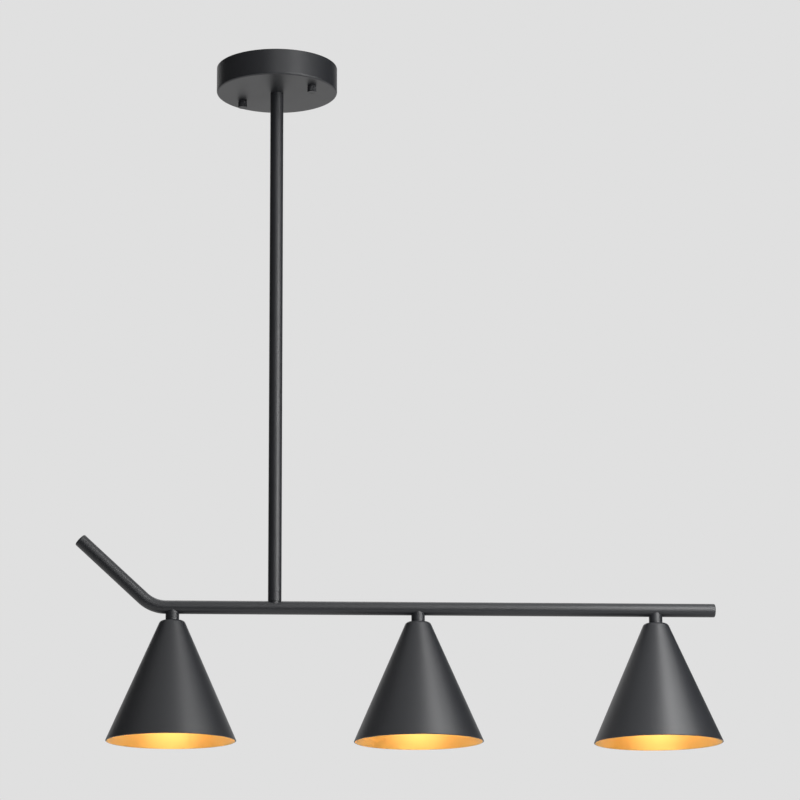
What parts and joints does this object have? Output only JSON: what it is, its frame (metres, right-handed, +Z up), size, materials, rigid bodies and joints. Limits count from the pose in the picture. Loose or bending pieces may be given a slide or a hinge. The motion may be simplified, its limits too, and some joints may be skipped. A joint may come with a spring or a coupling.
{
  "type": "linear pendant ceiling light",
  "caption": "Bent-tube linear pendant light hung on a rigid stem from a round ceiling canopy, with black cone shades, gold inside.",
  "frame": {"origin": "centre of the ceiling screw pattern, in the ceiling plane, on the stem's axis", "axes": "+X along the bar towards its straight end, +Y away from the viewer of the picture, +Z up into the ceiling"},
  "size_m": [0.621, 0.124, 0.673],
  "materials": {
    "powder_black": "fine matt black powder coat on steel",
    "shade_black_gold": "matt black powder coat outside, satin gold lacquer inside",
    "zinc_steel": "bright zinc plate",
    "brass": "plain brass",
    "cream_plastic": "cream moulded insulator",
    "lead_brown": "brown insulation",
    "lead_blue": "blue insulation",
    "holder_black": "black phenolic moulding",
    "opal_glass": "opal glass",
    "nickel_cap": "rolled nickel-plated cap",
    "black_glass": "black glass foot with a contact"
  },
  "bodies": {
    "ceiling_side": {"canopy": "powder_black", "ceiling_strap": "zinc_steel", "strap_studs": "zinc_steel", "stud_lock_nuts": "zinc_steel", "earth_screw": "brass"},
    "pendant": {"canopy_nipple": "zinc_steel", "canopy_washer": "zinc_steel", "earth_ring": "brass", "canopy_hex_nut": "zinc_steel", "terminal_block": "cream_plastic", "terminal_screws": "zinc_steel", "rod": "powder_black", "rod_bushings": "zinc_steel", "foot_nipple": "zinc_steel", "bar_foot": "powder_black", "bar": "powder_black", "left_end_plug": "powder_black", "right_end_plug": "powder_black", "left_stub": "powder_black", "middle_stub": "powder_black", "right_stub": "powder_black", "left_shade": "shade_black_gold", "middle_shade": "shade_black_gold", "right_shade": "shade_black_gold", "shade_nipples": "zinc_steel", "shade_washers": "zinc_steel", "shade_hex_nuts": "zinc_steel", "live_leads": "lead_brown", "neutral_leads": "lead_blue", "left_holder_cap": "holder_black", "middle_holder_cap": "holder_black", "right_holder_cap": "holder_black", "left_holder_skirt": "holder_black", "middle_holder_skirt": "holder_black", "right_holder_skirt": "holder_black", "holder_inserts": "cream_plastic", "holder_shells": "brass", "holder_contacts": "brass"},
    "left_nut_washer_body": {"left_nut_washer": "powder_black"},
    "left_nut_body": {"left_canopy_nut": "powder_black"},
    "right_nut_washer_body": {"right_nut_washer": "powder_black"},
    "right_nut_body": {"right_canopy_nut": "powder_black"},
    "left_bulb_foot_body": {"left_bulb_foot": "black_glass"},
    "left_bulb_body": {"left_bulb_glass": "opal_glass", "left_bulb_cap": "nickel_cap"},
    "middle_bulb_foot_body": {"middle_bulb_foot": "black_glass"},
    "middle_bulb_body": {"middle_bulb_glass": "opal_glass", "middle_bulb_cap": "nickel_cap"},
    "right_bulb_foot_body": {"right_bulb_foot": "black_glass"},
    "right_bulb_body": {"right_bulb_glass": "opal_glass", "right_bulb_cap": "nickel_cap"}
  },
  "joints": [
    {"name": "stem_swivel", "type": "hinge", "parent": "ceiling_side", "child": "pendant", "pos_m": [0, 0, -0.026], "axis": [0, 0, 1], "range_deg": [-170, 170]},
    {"name": "left_nut_travel", "type": "slide", "parent": "ceiling_side", "child": "left_nut_washer_body", "axis": [0, 0, 1], "range_m": [-0.0042, 0]},
    {"name": "left_nut_turn", "type": "hinge", "parent": "left_nut_washer_body", "child": "left_nut_body", "pos_m": [-0.03376, 0.02498, -0.0266], "axis": [0, 0, 1], "range_deg": [-2160, 0]},
    {"name": "right_nut_travel", "type": "slide", "parent": "ceiling_side", "child": "right_nut_washer_body", "axis": [0, 0, 1], "range_m": [-0.0042, 0]},
    {"name": "right_nut_turn", "type": "hinge", "parent": "right_nut_washer_body", "child": "right_nut_body", "pos_m": [0.03376, -0.02498, -0.0266], "axis": [0, 0, 1], "range_deg": [-2160, 0]},
    {"name": "left_bulb_travel", "type": "slide", "parent": "pendant", "child": "left_bulb_foot_body", "axis": [0, 0, 1], "range_m": [-0.01692, 0]},
    {"name": "left_bulb_turn", "type": "hinge", "parent": "left_bulb_foot_body", "child": "left_bulb_body", "pos_m": [-0.0977, 0, -0.558], "axis": [0, 0, 1], "range_deg": [-2160, 0]},
    {"name": "middle_bulb_travel", "type": "slide", "parent": "pendant", "child": "middle_bulb_foot_body", "axis": [0, 0, 1], "range_m": [-0.01692, 0]},
    {"name": "middle_bulb_turn", "type": "hinge", "parent": "middle_bulb_foot_body", "child": "middle_bulb_body", "pos_m": [0.1378, 0, -0.558], "axis": [0, 0, 1], "range_deg": [-2160, 0]},
    {"name": "right_bulb_travel", "type": "slide", "parent": "pendant", "child": "right_bulb_foot_body", "axis": [0, 0, 1], "range_m": [-0.01692, 0]},
    {"name": "right_bulb_turn", "type": "hinge", "parent": "right_bulb_foot_body", "child": "right_bulb_body", "pos_m": [0.368, 0, -0.558], "axis": [0, 0, 1], "range_deg": [-2160, 0]}
  ],
  "couplings": [
    {"joint": "left_nut_turn", "follows": "left_nut_travel", "rad_per_m": 8976},
    {"joint": "right_nut_turn", "follows": "right_nut_travel", "rad_per_m": 8976},
    {"joint": "left_bulb_turn", "follows": "left_bulb_travel", "rad_per_m": 2228.1},
    {"joint": "middle_bulb_turn", "follows": "middle_bulb_travel", "rad_per_m": 2228.1},
    {"joint": "right_bulb_turn", "follows": "right_bulb_travel", "rad_per_m": 2228.1}
  ]
}
